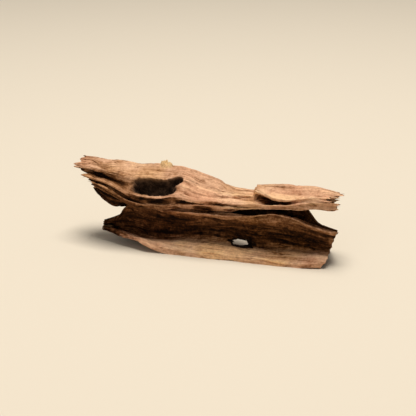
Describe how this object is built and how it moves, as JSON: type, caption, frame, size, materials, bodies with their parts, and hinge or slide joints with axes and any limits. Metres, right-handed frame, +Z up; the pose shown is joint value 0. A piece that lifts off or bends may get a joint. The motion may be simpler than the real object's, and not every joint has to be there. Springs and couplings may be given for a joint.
{
  "type": "aquarium driftwood",
  "caption": "Weathered driftwood piece for an aquarium, with a hollowed lower limb, a front ledge and an upper limb that overhangs at both ends.",
  "frame": {"origin": "on the ground, under the middle of the box that holds the resting piece", "axes": "+X along the grain towards the end with the finger-like stub, -Y towards the hollow and its ledge, +Z up"},
  "size_m": [0.2177, 0.0601, 0.0664],
  "materials": {
    "weathered_wood": "dry weathered grain, pinkish tan on worn tops and darker brown in the cracks and pits",
    "hollow_wood": "rough decayed grain, dark brown in the hollow and tan along the worn ledge"
  },
  "bodies": {
    "root": {"upper_limb": "weathered_wood", "lower_limb": "hollow_wood"}
  },
  "joints": []
}
